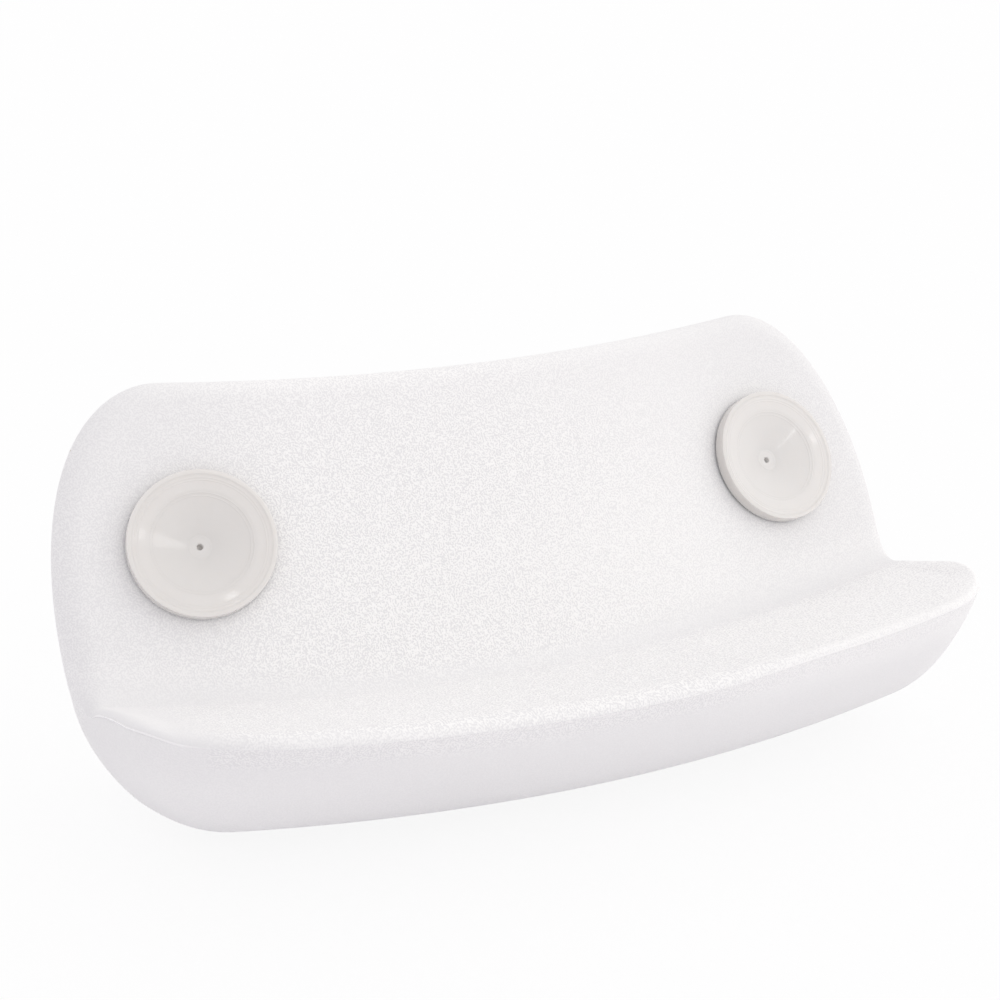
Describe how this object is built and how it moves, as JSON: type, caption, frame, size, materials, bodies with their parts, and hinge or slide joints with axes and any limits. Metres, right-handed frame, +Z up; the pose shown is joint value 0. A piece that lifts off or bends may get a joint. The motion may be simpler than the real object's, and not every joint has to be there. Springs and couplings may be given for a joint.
{
  "type": "bath pillow",
  "caption": "L-shaped moulded foam bath pillow: a plate held by suction cups on its tub side, a ledge that hooks over the bath's rim, and a thick neck roll where they meet.",
  "frame": {"origin": "on the surface that the pillow stands on, under the middle of its box", "axes": "+Z is up. +Y points away from the tub side, towards the head side. +X runs along the pillow, to the right for someone who faces the suction cups."},
  "size_m": [0.287, 0.1408, 0.1232],
  "materials": {
    "skin": "white moulded foam skin with a fine leather grain, satin",
    "foam": "soft cream foam, matt",
    "socket_plastic": "hard white plastic",
    "cup_vinyl": "milky see-through soft vinyl, glossy"
  },
  "bodies": {
    "pillow": {"back_skin": "skin", "front_skin": "skin", "foam_core": "foam", "cup_socket_left": "socket_plastic", "cup_socket_right": "socket_plastic"},
    "cup_left": {"suction_cup_left": "cup_vinyl"},
    "cup_right": {"suction_cup_right": "cup_vinyl"}
  },
  "joints": [
    {"name": "cup_pull_left", "type": "slide", "parent": "pillow", "child": "cup_left", "axis": [-0.1092, -0.8475, 0.5194], "range_m": [0, 0.02]},
    {"name": "cup_pull_right", "type": "slide", "parent": "pillow", "child": "cup_right", "axis": [0.1092, -0.8475, 0.5194], "range_m": [0, 0.02]}
  ]
}
